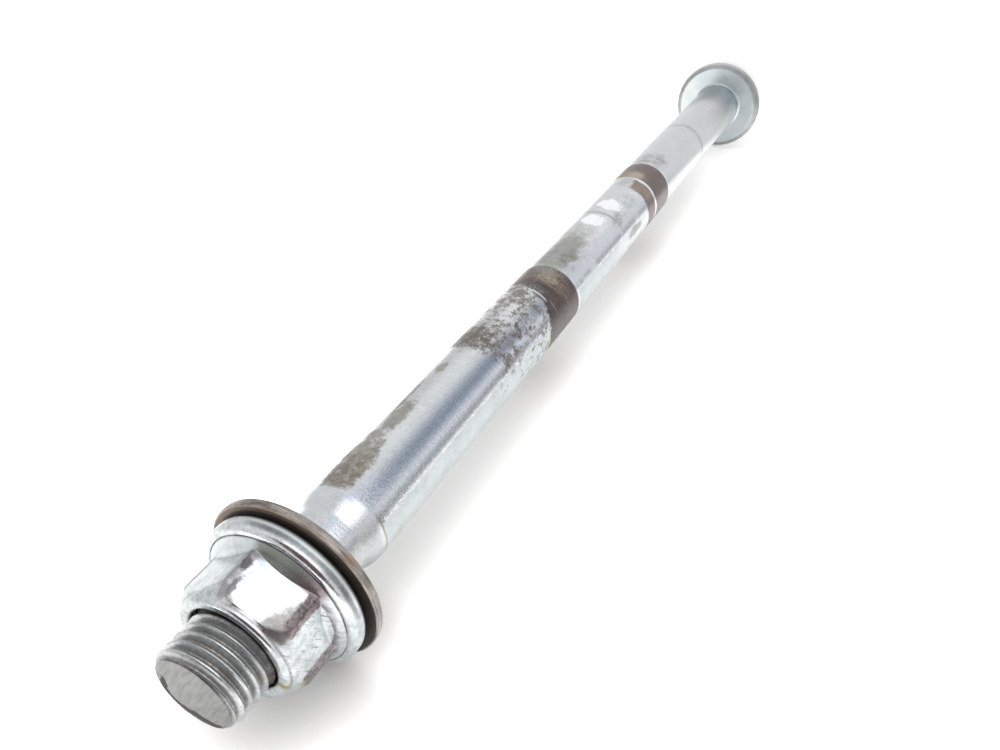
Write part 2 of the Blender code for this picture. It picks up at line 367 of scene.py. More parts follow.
class Wire:
    def __init__(self, tree, socket=None):
        self.tree, self.socket = tree, socket

    def node(self, kind, settings=None, out=0, **sockets):
        made = self.tree.nodes.new(kind)
        for name, value in (settings or {}).items():
            if name == "stops":
                while len(made.color_ramp.elements) < len(value):
                    made.color_ramp.elements.new(0.5)
                for stop, (place, colour) in zip(made.color_ramp.elements, value):
                    stop.position, stop.color = place, (*colour, 1)
            else:
                setattr(made, name, value)
        for name, value in sockets.items():
            key = int(name[1:]) if name[0] == "i" and name[1:].isdigit() else name.replace("_", " ")
            self.feed(made.inputs[key], value)
        return Wire(self.tree, made.outputs[out])

    def feed(self, socket, value):
        if isinstance(value, Wire):
            self.tree.links.new(value.socket, socket)
        elif isinstance(value, tuple) and len(value) == 3 and socket.type == "RGBA":
            socket.default_value = (*value, 1)
        else:
            socket.default_value = value

    def maths(self, operation, *values):
        return self.node("ShaderNodeMath", {"operation": operation}, **{f"i{k}": v for k, v in enumerate(values)})

    def __add__(self, other):
        return self.maths("ADD", self, other)

    __radd__ = __add__

    def __mul__(self, other):
        return self.maths("MULTIPLY", self, other)

    __rmul__ = __mul__

    def __sub__(self, other):
        return self.maths("SUBTRACT", self, other)

    def __rsub__(self, other):
        return self.maths("SUBTRACT", other, self)

    def __truediv__(self, other):
        return self.maths("DIVIDE", self, other)

    def __pow__(self, other):
        return self.maths("POWER", self, other)

    def either(self, other):
        # the larger of the two
        return self.maths("MAXIMUM", self, other)

    def above(self, start, end):
        # 0 below start, 1 above end, smooth between; start may be the larger
        return self.node("ShaderNodeMapRange", {"interpolation_type": "SMOOTHSTEP"}, i0=self, i1=start, i2=end)

    def over(self, colour, top):
        # this mask lays top over colour
        return self.node("ShaderNodeMix", {"data_type": "RGBA"}, out=2, i0=self, i6=colour, i7=top)

    def axisPlace(self):
        # the place on the piece in millimetres, its x, y and z, and the turn from the side that faces the camera
        place = self.node("ShaderNodeTexCoord", out=3)
        place = self.node("ShaderNodeVectorMath", {"operation": "SCALE"}, i0=place, Scale=1 / mm)
        x, y, z = (self.node("ShaderNodeSeparateXYZ", out=k, i0=place) for k in range(3))
        c, s = math.cos(facing), math.sin(facing)
        return place, x, y, z, self.maths("ARCTAN2", y * c - x * s, x * c + y * s)

    def toSurface(self):
        # this shader becomes the material's surface
        end = self.tree.nodes.new("ShaderNodeOutputMaterial")
        self.tree.links.new(self.socket, end.inputs["Surface"])


def emptyMaterial(name):
    material = bpy.data.materials.new(name)
    material.use_nodes = True
    material.node_tree.nodes.clear()
    return material, Wire(material.node_tree)


class Finish(Wire):
    # a material built in layers, with the coordinates that every finish here uses
    def __init__(self, name):
        self.material = bpy.data.materials.new(name)
        self.material.use_nodes = True
        super().__init__(self.material.node_tree)
        self.shader = self.tree.nodes["Principled BSDF"]
        self.place, x, y, z, self.turn = self.axisPlace()
        self.around = self.turn * (180 / math.pi)
        self.t = totalLength - z
        self.radius = self.maths("SQRT", x * x + y * y)

    def noise(self, scale, detail=3.0, along=1.0, across=1.0, rough=0.55, seed=0.0):
        # noise in millimetres on the piece, stretched along the axis or round it
        where = self.node("ShaderNodeVectorMath", {"operation": "MULTIPLY_ADD"},
                          i0=self.place, i1=(across, across, along), i2=(seed, -seed, seed * 0.7))
        return self.node("ShaderNodeTexNoise", Vector=where, Scale=scale, Detail=detail, Roughness=rough)

    def streaks(self, u, v, detail=2.0, seed=0.0):
        # noise drawn out along the lines of equal u
        where = self.node("ShaderNodeCombineXYZ", i0=u, i1=v, i2=seed)
        return self.node("ShaderNodeTexNoise", Vector=where, Scale=1.0, Detail=detail, Roughness=0.5)

    def patch(self, t, turn, length, width, ragged=0.0, edge=0.25):
        # a stain with its middle at (t, turn), half length in mm and half width in degrees
        along, across = (self.t - t) / length, (self.around - turn) / width
        away = self.maths("SQRT", along * along + across * across) + ragged
        return away.above(1 + edge, 1 - edge)

    def span(self, low, high, soft, shift=0.0, farSoft=None):
        # between two distances from the end of the thread
        far = soft if farSoft is None else farSoft
        place = self.t + shift
        return place.above(low - soft, low + soft) * place.above(high + far, high - far)

    def sector(self, low, high, soft, shift=0.0):
        # between two angles round the axis
        place = self.around + shift
        return place.above(low - soft, low + soft) * place.above(high + soft, high - soft)

    def ground(self, colour, roughness, metallic):
        self.colour, self.roughness, self.metallic = colour, roughness, metallic

    def lay(self, mask, colour, roughness=None, metallic=None):
        self.colour = mask.over(self.colour, colour)
        if roughness is not None:
            self.roughness = self.roughness + (roughness - self.roughness) * mask
        if metallic is not None:
            self.metallic = self.metallic + (metallic - self.metallic) * mask

    def close(self, height, strength, distance):
        self.feed(self.shader.inputs["Base Color"], self.colour)
        self.feed(self.shader.inputs["Roughness"], self.roughness)
        self.feed(self.shader.inputs["Metallic"], self.metallic)
        bump = self.node("ShaderNodeBump", Height=height, Strength=strength, Distance=distance)
        self.feed(self.shader.inputs["Normal"], bump)
        return self.material


# zinc plate on the axle, with the marks of two bearings, oxide, oil stains and two dabs of paint

tint = dict(
    zincDark=(0.51, 0.52, 0.54), zincLight=(0.67, 0.68, 0.70), oxide=(0.62, 0.67, 0.68),
    oxideShade=(0.48, 0.525, 0.535), olive=(0.32, 0.315, 0.27), oliveDark=(0.165, 0.15, 0.125),
    oil=(0.062, 0.05, 0.044), oilLight=(0.165, 0.128, 0.108), rust=(0.105, 0.060, 0.048),
    rustDark=(0.046, 0.031, 0.028), rustPurple=(0.125, 0.09, 0.092), golden=(0.28, 0.20, 0.135),
    pale=(0.50, 0.47, 0.39), brightAndHighlight=(0.70, 0.73, 0.75), smudge=(0.27, 0.275, 0.27), paint=(0.90, 0.92, 0.97),
    dirtAndShade=(0.028, 0.024, 0.022), thread=(0.47, 0.485, 0.49), threadShade=(0.34, 0.35, 0.352),
    valley=(0.17, 0.158, 0.145), endFace=(0.185, 0.188, 0.185), endShade=(0.10, 0.102, 0.10),
    headReflection=(0.34, 0.38, 0.42), headFace=(0.47, 0.53, 0.54), headLight=(0.56, 0.59, 0.60),
    headRim=(0.33, 0.34, 0.33), film=(0.17, 0.178, 0.165))

# where they begin and end, in millimetres from the end of the thread
places = dict(
    tip=(0.35, 0.05), thread=(24.6, 23.8), blank=(24, 32.6), burr=(33.0, 33.4), shaft=(32.6, 33.4),
    oilRing=(75.4, 83.5), blotches=(81, 101), firstMark=(98.2, 110.45), darkBand=(101.7, 103.2),
    firstLine=(110.8, 111.4), faintLine=(140.8, 141.7), secondMark=(158.9, 164.6), secondLine=(164.7, 165.5),
    farMark=(165.5, 165.9), farMarkEnd=(176.3, 176.0), farLine=(176.4, 177.3), neck=(210.2, 212.4),
    headFace=(255.9, 256.6))


def axleFinish():
    f = Finish("satinZinc")
    t, around = f.t, f.around
    belt = f.noise(1.0, 4, along=4.0, across=0.3)
    grain = f.noise(3.2, 4, seed=5)
    cloud = f.noise(0.16, 5, rough=0.62, seed=11)
    ragged = (f.noise(0.42, 6, rough=0.66, seed=2) - 0.5) * 5
    tatter = (f.noise(1.6, 5, rough=0.7, seed=8) - 0.5) * 5
    speck = f.noise(2.3, 4, rough=0.65, seed=21)
    blot = f.noise(0.62, 7, rough=0.66, seed=14)
    fray = ragged * 0.34 + tatter * 0.26
    f.ground((grain * 0.6 + belt * 0.4).above(0.3, 0.7).over(tint["zincDark"], tint["zincLight"]),
             0.14 + grain * 0.12, 1.0)
    shaft = t.above(*places["shaft"])

    # oxide on the lower side, and in clouds
    lower = f.sector(-150, -35, 2.5, ragged * 2.6 + tatter * 2.6)
    upper = f.sector(14, 36, 7, ragged * 4) * f.span(36, 95, 6)
    veil = (lower * 0.9).either(upper * (blot.above(0.38, 0.6) * 0.7))
    clouds = (cloud + tatter * 0.015).above(0.50, 0.66) * t.above(70, 90) * t.above(165, 150)
    veil = veil.either(clouds * 0.6)
    f.lay(veil * shaft * (1 - t.above(120, 150) * 0.5),
          (cloud * 0.5 + speck * 0.5).above(0.36, 0.62).over(tint["oxideShade"], tint["oxide"]), 0.5, 0.3)

    # olive stains on the upper side near the shoulder, and further up
    stain = f.patch(38.2, 48, 7.4, 26, fray * 0.7, 0.16)
    for at, turn, length, width in ((46.4, 54, 1.5, 15), (51.8, 46, 4.8, 12), (58, 60, 6.5, 4), (67.5, 50, 2.0, 6)):
        stain = stain.either(f.patch(at, turn, length, width, fray * 1.3, 0.25) * 0.9)
    stain = stain * shaft
    f.lay(stain * (0.95 - (speck - 0.5).above(0.06, 0.14) * 0.5),
          (blot * 0.6 + speck * 0.4).above(0.38, 0.6).over(tint["olive"], tint["oliveDark"]), 0.5, 0.25)
    brown = stain * f.patch(36, 50, 4.5, 22, fray, 0.5) * (blot + 0.1).above(0.5, 0.62)
    f.lay(brown * 0.7, tint["oilLight"], 0.5, 0.25)
    spotted = f.patch(55, 29, 14, 13, fray, 0.5).either(f.patch(75, -50, 16, 28, fray, 0.5))
    spots = speck.above(0.66, 0.70) * spotted
    f.lay(spots * 0.8, tint["oliveDark"], 0.5, 0.2)

    # burnt oil: a ragged ring of it, then blotches as far as the first bearing
    fine = f.noise(4.5, 4, rough=0.7, seed=41)
    clump = blot * 0.52 + speck * 0.28 + fine * 0.2
    powder = speck * 0.5 + fine * 0.5
    soot = powder.above(0.40, 0.60)
    burnt = soot.over(tint["oil"], tint["oilLight"])
    oilRing = f.span(*places["oilRing"], 0.6, ragged * 1.7 + tatter * 1.5, 3.0)
    oilRing = oilRing * f.sector(-34, 210, 10, ragged * 9 + tatter * 6)
    f.lay(oilRing * (clump + around.above(-10, 60) * 0.07).above(0.475, 0.54) * 0.9, burnt, 0.45, 0.25)
    dark = f.patch(78.6, 46, 3.6, 30, fray * 1.6, 0.4) * (0.3 + powder.above(0.44, 0.53) * 0.65)
    f.lay(dark, soot.over(tint["dirtAndShade"], tint["oliveDark"]), 0.45, 0.25)
    nearer = t.above(82, 99) * 0.045 + around.above(-55, 40) * 0.035
    blotches = f.span(*places["blotches"], 1.5) * (clump + nearer).above(0.540, 0.590)
    f.lay(blotches * 0.82, burnt, 0.45, 0.25)
    f.lay(f.patch(87.5, -6, 3.4, 15, fray * 1.4, 0.4) * clump.above(0.47, 0.52) * 0.85, burnt, 0.45, 0.25)
    dashes = f.streaks(t * 0.5, around * 0.14, 3, seed=3.0).above(0.60, 0.66)
    dashes = dashes * f.sector(-85, -24, 9) * f.span(73, 101, 4)
    f.lay(dashes * (0.5 + speck.above(0.42, 0.56) * 0.45), tint["oliveDark"], 0.5, 0.2)

    # the first bearing's mark
    skew = f.maths("SINE", f.turn) * -3.6
    markStart, markEnd = places["firstMark"]
    mark = (t + (skew + ragged * 0.8 + tatter * 0.35)).above(markStart - 0.5, markStart + 0.5)
    mark = mark * t.above(markEnd + 0.15, markEnd - 0.15)
    rings = f.streaks(t * 1.1, around * 0.02, 4, seed=7.0)
    f.lay(mark * 0.96, (rings * 0.45 + blot * 0.55).above(0.38, 0.62).over(tint["rust"], tint["rustDark"]), 0.34, 0.4)
    # painted shade: the mark darker on its lower side
    f.lay(mark * around.above(-5, -40) * 0.6, tint["rustDark"], 0.4, 0.4)
    gold = f.patch(106.4, 14, 2.9, 36, fray * 0.7, 0.45) * mark
    f.lay(gold * 0.85, (rings * 0.4 + speck * 0.6).above(0.42, 0.6).over(tint["golden"], tint["oil"]), 0.4, 0.35)
    f.lay(f.patch(106.3, 20, 1.7, 16, fray * 1.1, 0.3) * speck.above(0.46, 0.58) * 0.8, tint["pale"], 0.5, 0.2)
    greyed = f.span(98.0, 101.8, 1.0, skew * 0.5 + ragged * 0.5) * f.sector(6, 80, 14, ragged * 8) * mark
    f.lay(greyed * 0.6, speck.above(0.4, 0.6).over(tint["smudge"], tint["oil"]), 0.42, 0.4)
    darkBand = f.span(*places["darkBand"], 0.7, ragged * 0.35) * f.sector(-60, 70, 25) * mark
    f.lay(darkBand * (0.35 + rings.above(0.4, 0.6) * 0.6), tint["rustDark"], 0.4, 0.4)
    # painted highlights as bright lines across it, and a bright line along its far edge
    highlightLines = f.span(99.0, 99.5, 0.16, skew * 0.3 + ragged * 0.08) * f.sector(-3, 26, 4, ragged * 5)
    f.lay(highlightLines * 0.9, tint["brightAndHighlight"], 0.3, 0.9)
    highlightLines = f.span(99.9, 100.2, 0.12, ragged * 0.08) * f.sector(-30, -7, 5, ragged * 5)
    f.lay(highlightLines * 0.22, tint["brightAndHighlight"], 0.3, 0.9)
    firstLine = f.span(*places["firstLine"], 0.2, ragged * 0.12)
    f.lay(firstLine * (0.5 + speck.above(0.4, 0.6) * 0.4), tint["brightAndHighlight"], 0.3, 0.8)

    # cloudy grey-green stain behind it
    grime = blot * 0.5 + speck * 0.5 + tatter * 0.02
    grey = f.patch(117.0, 35, 10.5, 30, fray * 0.75, 0.35) * (0.62 + grime.above(0.38, 0.62) * 0.3)
    f.lay(grey, (cloud * 0.4 + speck * 0.6).above(0.44, 0.64).over(tint["film"], tint["olive"]), 0.42, 0.4)
    f.lay(f.patch(115.8, 19, 3.0, 10, fray, 0.6) * grime.above(0.40, 0.56) * 0.85, tint["oliveDark"], 0.45, 0.3)
    f.lay(f.patch(127.5, 42, 7, 30, fray, 0.6) * grime.above(0.42, 0.62) * 0.75, tint["olive"], 0.45, 0.3)

    # dirt between the marks
    faintLine = f.span(*places["faintLine"], 0.3, ragged * 0.2) * f.sector(-20, 66, 8, ragged * 6)
    f.lay(faintLine * 0.6, tint["smudge"], 0.4, 0.5)
    f.lay(f.patch(143.4, -1, 3.6, 12, fray * 1.2, 0.5) * grime.above(0.42, 0.54) * 0.75, tint["olive"], 0.45, 0.3)
    lowDirt = f.patch(148.2, -46, 6.0, 8, fray * 1.1, 0.3) * (0.6 + grime.above(0.42, 0.54) * 0.35)
    f.lay(lowDirt, tint["olive"], 0.45, 0.3)
    f.lay(f.patch(152.5, 8, 4.0, 17, fray * 1.2, 0.6) * grime.above(0.44, 0.58) * 0.55, tint["smudge"], 0.4, 0.5)

    # the second bearing's mark
    near = f.span(*places["secondMark"], 0.5, ragged * 0.5 + tatter * 0.2, 0.25)
    near = near * f.sector(-200, 25, 6, ragged * 7 + tatter * 3)
    f.lay(near * 0.95, (rings * 0.6 + blot * 0.4).above(0.40, 0.62).over(tint["golden"], tint["oilLight"]), 0.36, 0.45)
    f.lay(near * around.above(-14, -34) * 0.85, tint["rustPurple"], 0.36, 0.45)
    far = t.above(*places["farMark"]) * t.above(*places["farMarkEnd"])
    f.lay(far * 0.96, (rings * 0.6 + blot * 0.4).above(0.40, 0.62).over(tint["rustPurple"], tint["rust"]), 0.34, 0.45)
    f.lay(far * f.patch(167.4, 52, 3.0, 40, fray * 0.6, 0.6) * 0.8, tint["golden"], 0.38, 0.4)
    f.lay(far * f.patch(167.2, 30, 2.2, 16, fray, 0.6) * 0.5, tint["pale"], 0.4, 0.4)
    secondLine = f.span(*places["secondLine"], 0.2, ragged * 0.08)
    f.lay(secondLine * (0.6 + around.above(60, 0) * 0.35), tint["brightAndHighlight"], 0.28, 0.9)
    f.lay(f.patch(163.0, 40, 4.0, 13, fray, 0.6) * 0.45, tint["smudge"], 0.38, 0.5)
    f.lay(f.span(*places["farLine"], 0.25) * 0.6, tint["brightAndHighlight"], 0.28, 0.9)

    # smudges behind it, dirt where the neck starts, and on the neck's end by the head a painted reflection of the head
    smudges = f.patch(181, 14, 4.5, 16, fray, 0.6).either(f.patch(180, 43, 4.2, 17, fray, 0.6))
    f.lay(smudges * (rings * 0.5 + grime * 0.5).above(0.40, 0.56) * 0.85, tint["smudge"], 0.42, 0.5)
    neckDirt = f.span(*places["neck"], 1.0, ragged * 0.4) * (0.25 + grime.above(0.4, 0.6) * 0.45)
    f.lay(neckDirt, tint["smudge"], 0.42, 0.5)
    f.lay(f.patch(236, -22, 9.0, 20, fray, 1.0) * 0.3, tint["smudge"], 0.42, 0.6)
    f.lay(t.above(241, 250) * t.above(257, 256) * 0.45, tint["headReflection"], 0.25, 1.0)

    # two plain dabs of white paint
    dab = f.patch(136.8, 31, 3.0, 22, fray * 0.85, 0.08).either(f.patch(146.8, 30, 2.9, 23, fray * 0.85, 0.08))
    f.lay(dab * (0.95 - speck.above(0.58, 0.66) * 0.5), tint["paint"], 0.45, 0.0)

    # dirt and a burr where the shaft steps down under the washer, and painted shade on the lower side of the blank
    f.lay(f.patch(34.2, -29, 1.3, 5, fray * 1.6, 0.5) * speck.above(0.42, 0.54) * 0.85, tint["oliveDark"], 0.5, 0.2)
    burr = f.span(*places["burr"], 0.14, ragged * 0.1) * f.sector(-120, -20, 8)
    f.lay(burr * 0.7, tint["oliveDark"], 0.4, 0.6)
    blankUnderShade = f.span(*places["blank"], 1.0) * around.above(-16, -38)
    f.lay(blankUnderShade * (0.75 + tatter * 0.2), tint["smudge"], 0.3, 0.85)
    film = f.span(26, 33, 1.5) * around.above(22, 48).either(around.above(-34, -58))
    f.lay(film * (0.4 + ragged * 0.15), tint["oxide"], 0.5, 0.35)

    # thread: worn crests with painted short highlights, darker valleys, grease and a painted shadow of the collar where
    # it enters the nut
    cut = t.above(*places["thread"])
    f.lay(cut, (grain * 0.5 + speck * 0.5).above(0.38, 0.6).over(tint["threadShade"], tint["thread"]), 0.28, 0.85)
    f.lay(cut * f.radius.above(6.55, 6.15) * (0.75 - speck.above(0.45, 0.6) * 0.3), tint["valley"], 0.45, 0.5)
    worn = f.streaks(t * 1.3, around * 0.03, 4, seed=12.0)
    # bright worn crests in short streaks, which also paint short highlights
    f.lay(cut * f.radius.above(6.74, 6.88) * worn.above(0.48, 0.62) * 0.45, tint["brightAndHighlight"], 0.2, 1.0)
    f.lay(cut * worn.above(0.50, 0.36) * 0.35, tint["valley"], 0.4, 0.6)
    f.lay(cut * t.above(9.0, 11.0) * (0.35 + speck.above(0.42, 0.6) * 0.35), tint["valley"], 0.35, 0.6)
    # dirt and a painted shadow of the collar on the thread just inside the nut
    f.lay(cut * (t + ragged * 0.15).above(6.9, 7.4) * t.above(11.5, 9.0), tint["dirtAndShade"], 0.6, 0.2)
    f.lay(cut * f.span(6.7, 7.8, 0.3) * clump.above(0.53, 0.57) * 0.7, tint["oilLight"], 0.6, 0.2)

    # end of the thread: grey with faint cutting lines, and a black crack of dirt along the far edge
    tip = t.above(*places["tip"])
    cutLines, drift = (
        f.node("ShaderNodeVectorMath", {"operation": "DOT_PRODUCT"}, out=1, i0=f.place, i1=direction)
        for direction in ((0.83, -0.55, 0.0), (0.55, 0.83, 0.0)))
    sawn = f.streaks(cutLines * 1.5, drift * 0.25, 4) * 0.65 + grain * 0.35
    f.lay(tip, sawn.above(0.36, 0.62).over(tint["endShade"], tint["endFace"]), 0.36, 0.8)
    wander = f.maths("COSINE", f.turn * 4 + 1.187) * 0.5 + (f.noise(1.1, 4, seed=33) - 0.5) * 1.2
    farSide = f.maths("COSINE", f.turn - 3.2)
    crack = f.maths("ABSOLUTE", f.radius - 5.45 - wander) / (farSide * 0.5 + 0.22)
    crack = crack.above(1.15, 0.8) * t.above(0.9, 0.6) * farSide.above(0.28, 0.42)
    f.lay(crack, tint["dirtAndShade"], 0.7, 0.0)

    # head: blue-grey face, dull nicked rim
    face = t.above(*places["headFace"])
    f.lay(face, (cloud + tatter * 0.02).above(0.4, 0.62).over(tint["headFace"], tint["headLight"]), 0.3, 0.85)
    rim = face * f.radius.above(12.55, 13.0)
    f.lay(rim * 0.85, (blot + tatter * 0.03).above(0.42, 0.6).over(tint["headRim"], tint["smudge"]), 0.42, 0.6)
    # painted highlight: lighter zinc along one side of the rim's outer edge
    f.lay(rim * f.radius.above(13.6, 14.1) * f.sector(5, 90, 20) * 0.5, tint["zincLight"], 0.3, 0.9)
    nicks = face * f.radius.above(12.3, 13.2) * (speck + ragged * 0.02).above(0.62, 0.68)
    f.lay(nicks, tint["oliveDark"], 0.5, 0.4)

    # bumps: strongest on the hammered part before the oil, weakest on the end face
    hammered = t.above(24, 28) * t.above(78, 72) * (1 - stain * 0.6)
    height = (grain * 0.8 + speck * 0.8) * (0.6 + hammered * 1.4 - tip * 0.4) + belt * 0.25
    height = height + stain * 0.2 + mark * 0.3 + far * 0.3 - spots * 0.8 + dab * 1.2 - crack * 3.0
    return f.close(height, strength=0.45, distance=0.00003)


# bright zinc plate on the nut, dull with oxide on all flats but one and dark where a spanner rubbed

nutTint = dict(
    bright=(0.78, 0.80, 0.82), shade=(0.62, 0.64, 0.67), oxide=(0.58, 0.625, 0.635), oxideDark=(0.33, 0.36, 0.362),
    rubbed=(0.072, 0.062, 0.066), flatShade=(0.24, 0.225, 0.21), grey=(0.15, 0.155, 0.16), film=(0.24, 0.265, 0.235),
    warmFilmAndReflection=(0.22, 0.175, 0.18), dirtAndShade=(0.045, 0.038, 0.034), flangeShadow=(0.02, 0.016, 0.014), yellow=(0.36, 0.30, 0.12))


def nutFinish():
    f = Finish("brightZinc")
    t, around, radius = f.t, f.around, f.radius
    grain = f.noise(2.4, 4)
    cloud = f.noise(0.3, 5, rough=0.62, seed=4)
    ragged = (f.noise(0.8, 5, rough=0.66, seed=7) - 0.5) * 5
    tatter = (f.noise(2.6, 5, rough=0.7, seed=9) - 0.5) * 5
    blot = f.noise(1.1, 6, rough=0.66, seed=12)
    fray = ragged * 0.3 + tatter * 0.25
    f.ground(grain.above(0.35, 0.65).over(nutTint["shade"], nutTint["bright"]), 0.12 + grain * 0.1, 1.0)

    # oxide on all flats but the polished one, on the flange's sides and the rolled lip; a grey band on the rim, a
    # painted reflection
    flats = t.above(16.6, 16.0) * around.above(37, 42).either(around.above(-22, -27))
    mottled = (cloud * 0.4 + blot * 0.6).above(0.40, 0.58).over(nutTint["oxideDark"], nutTint["oxide"])
    f.lay(flats * (0.80 + ragged * 0.12), mottled, 0.38, 0.55)
    flange = t.above(16.0, 16.6)
    f.lay(flange * (cloud + fray * 0.05).above(0.46, 0.62) * 0.5, mottled, 0.36, 0.6)
    # painted reflection: a grey band on the rim
    rimReflection = f.span(17.45, 18.35, 0.3) * f.sector(-60, 50, 15)
    f.lay(rimReflection * (0.85 + ragged * 0.15), nutTint["grey"], 0.3, 0.85)
    f.lay(t.above(18.2, 18.5) * (0.7 + ragged * 0.1), nutTint["oxide"], 0.38, 0.5)
    sides = around.above(-36, -50).either(around.above(44, 60))
    f.lay(flange * sides * (0.65 + ragged * 0.15), mottled, 0.42, 0.5)
    f.lay(f.span(6, 8.4, 0.4) * around.above(32, 60) * 0.6, mottled, 0.4, 0.5)
    across = around * 0.17
    scratch = f.streaks(across * 2.6 + t * 3.1, across * 0.26 - t * 0.24, 4, seed=2.0)
    scratch = scratch.above(0.59, 0.65) * flats * around.above(0, -30)
    f.lay(scratch * (0.3 + blot.above(0.42, 0.6) * 0.5), nutTint["rubbed"], 0.4, 0.7)
    f.lay(flats * blot.above(0.60, 0.68) * 0.5, nutTint["rubbed"], 0.4, 0.7)

    # the polished flat: a dull corner and a dull strip by its far edge, painted shade that trims its reflection; rubbed
    # spots by its other corner
    polished = f.span(8.2, 15.6, 0.4) * f.sector(-26, 40, 2)
    edge = (13.1 - t) * 2.4 - around - 12 + ragged * 2.2 + tatter * 1.2
    f.lay(edge.above(-2, 3) * polished * (0.8 - blot.above(0.5, 0.62) * 0.35), nutTint["flatShade"], 0.3, 0.9)
    f.lay((around + ragged * 1.6 + tatter).above(31.5, 35) * polished * 0.7, nutTint["flatShade"], 0.3, 0.9)
    for at, turn, length, width, share in ((13.6, 36, 1.0, 3.6, 0.85), (10.2, 32, 1.5, 2.6, 0.75)):
        f.lay(f.patch(at, turn, length, width, fray * 1.3, 0.3) * share, nutTint["rubbed"], 0.4, 0.6)
    f.lay(f.patch(15.3, 36, 0.7, 6, fray, 0.5) * 0.6, nutTint["warmFilmAndReflection"], 0.35, 0.7)

    # corners rubbed dark by the spanner, widest on the lower side
    lowest = around.above(-58, -70)
    worn = (radius + lowest * 0.3 + ragged * 0.05 + tatter * 0.06).above(10.22, 10.45)
    worn = worn * f.span(9.3, 15.9, 0.3, ragged * 0.25) * (1 - f.sector(25, 52, 4) * 0.85)
    rubbed = (grain * 0.5 + blot * 0.5).above(0.40, 0.60).over(nutTint["rubbed"], nutTint["warmFilmAndReflection"])
    f.lay(worn * 0.93, rubbed, 0.32, 0.8)

    # a painted dark reflection in the hollow under the flats, darker in the crease, a painted shadow under the flange,
    # dirt and painted shade in the mouth
    hollow = f.span(15.3, 16.75, 0.25, ragged * 0.06) * radius.above(12.2, 11.9)
    hollowReflection = (around + ragged * 3).above(-8, 14).over(nutTint["warmFilmAndReflection"], nutTint["film"])
    # painted dark reflection in the hollow
    f.lay(hollow * f.sector(-25, 38, 4) * 0.92, hollowReflection, 0.28, 0.85)
    f.lay(hollow * around.above(39, 44) * 0.7, nutTint["oxide"], 0.4, 0.5)
    crease = f.maths("ABSOLUTE", radius - 11.88).above(0.18, 0.06) * t.above(15.9, 16.2)
    f.lay(crease * (0.6 + ragged * 0.25) * (1 - around.above(-45, -70) * 0.7), nutTint["dirtAndShade"], 0.5, 0.3)
    # painted shadow: the flange's underside near black
    f.lay(t.above(18.7, 19.2), nutTint["flangeShadow"], 0.6, 0.1)
    # dirt and painted shade in the mouth under the rolled lip
    f.lay(radius.above(7.75, 7.3) * t.above(7.5, 7.9), nutTint["dirtAndShade"], 0.5, 0.3)
    for at, turn, width, share in ((7.3, -74, 3, 1.0), (9.2, -76, 2.5, 0.7)):
        f.lay(f.patch(at, turn, 0.5, width, fray * 0.8, 0.3) * share, nutTint["yellow"], 0.6, 0.1)
    groove = f.maths("ABSOLUTE", t - 7.95).above(0.22, 0.06) * f.sector(-80, 30, 14)
    f.lay(groove * (0.6 + ragged * 0.2), nutTint["warmFilmAndReflection"], 0.3, 0.8)
    # painted shade: a dull patch near the chamfer, on the polished flat's reflection
    f.lay(f.patch(9.0, -16, 0.9, 12, fray * 1.2, 0.5) * 0.7, nutTint["flatShade"], 0.3, 0.9)

    height = grain * 0.35 + cloud * 1.2 + ragged * 0.16 - scratch * 0.4
    return f.close(height, strength=0.32, distance=0.00006)


washerTint = dict(
    rim=(0.20, 0.17, 0.15), light=(0.37, 0.33, 0.30), purple=(0.27, 0.245, 0.245), dark=(0.04, 0.033, 0.03),
    face=(0.16, 0.125, 0.095), orange=(0.34, 0.22, 0.13), edge=(0.55, 0.50, 0.45))


def washerFinish():
    f = Finish("bareSteel")
    t, around, radius = f.t, f.around, f.radius
    grain = f.noise(2.6, 5, rough=0.66)
    cloud = f.noise(0.3, 4, seed=6)
    ragged = (f.noise(0.9, 5, rough=0.68, seed=7) - 0.5) * 5
    steel = (cloud * 0.6 + grain * 0.4).above(0.40, 0.58).over(washerTint["rim"], washerTint["light"])
    f.ground(steel, 0.28 + grain * 0.2, 0.75)
    f.lay(around.above(-25, -60) * 0.75, washerTint["purple"])
    f.lay(f.sector(-20, 20, 18) * (0.4 + ragged * 0.15), washerTint["light"], 0.3, 0.8)
    lengthwise = f.streaks(t * 3.2, around * 0.05, 3, seed=5.0)
    f.lay(lengthwise.above(0.52, 0.64) * 0.55, washerTint["dark"], 0.45, 0.6)
    f.lay(lengthwise.above(0.44, 0.34) * 0.45, washerTint["edge"], 0.3, 0.9)
    # the front face: brown, with the nut flange's shadow painted dark on one side and all round under the flange
    face = radius.above(14.3, 14.1) * t.above(20.9, 20.5)
    f.lay(face, (around + ragged * 8).above(-40, 30).over(washerTint["dark"], washerTint["face"]), 0.5, 0.5)
    f.lay(face * radius.above(13.7, 13.2), washerTint["dark"], 0.6, 0.3)
    edge = f.maths("ABSOLUTE", radius - 14.25).above(0.16, 0.04) * t.above(21.0, 20.7)
    f.lay(edge * (0.35 + ragged * 0.3) * around.above(-60, 0), washerTint["orange"], 0.4, 0.7)
    nick = (grain + ragged * 0.02).above(0.57, 0.63) * f.patch(20.9, 62, 0.9, 22, ragged * 0.15, 0.4)
    f.lay(nick * 0.95, washerTint["dark"], 0.5, 0.5)
    f.lay((grain + ragged * 0.015).above(0.60, 0.68) * 0.6, washerTint["dark"], 0.5, 0.5)
    f.lay(f.patch(21.0, -16, 0.7, 4, ragged * 0.3, 0.6) * 0.5, washerTint["orange"], 0.5, 0.4)
    return f.close(grain + cloud * 0.5, strength=0.4, distance=0.00008)


ringTint = dict(dark=(0.05, 0.04, 0.035), brown=(0.20, 0.16, 0.13), bareAndGlint=(0.55, 0.56, 0.56))


